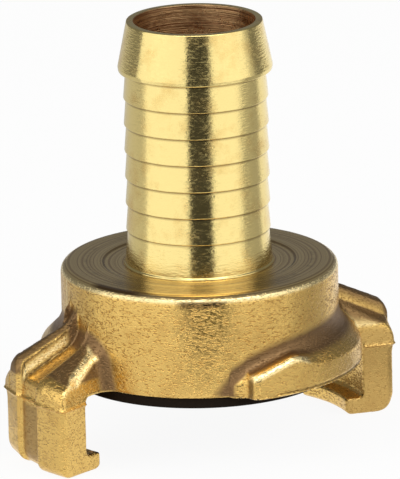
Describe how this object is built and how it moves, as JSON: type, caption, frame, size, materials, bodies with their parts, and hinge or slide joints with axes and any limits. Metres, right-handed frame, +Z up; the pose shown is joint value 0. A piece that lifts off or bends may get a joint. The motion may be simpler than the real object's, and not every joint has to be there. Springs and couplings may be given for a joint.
{
  "type": "twist-lock hose connector",
  "caption": "Brass hose connector with a barbed tail, a round head with two hooked claws and ramp lugs, and a rubber face seal underneath.",
  "frame": {"origin": "bottom centre of the bounding box: on the water way's axis, in the plane of the two hooks' flat lower faces", "axes": "+Z up along the water way towards the hose tail's end; the two claws lie along +X and -X; the ramp lugs run from each claw's -turn side"},
  "size_m": [0.059, 0.0458, 0.0611],
  "materials": {
    "turned_brass": "bright turned brass with fine lathe marks",
    "forged_brass": "hot-forged brass, satin, slightly pitted, with the top face turned smooth",
    "black_rubber": "matt black rubber"
  },
  "bodies": {
    "root": {"hose_tail": "turned_brass", "claw_head": "forged_brass", "seal": "black_rubber"}
  },
  "joints": []
}
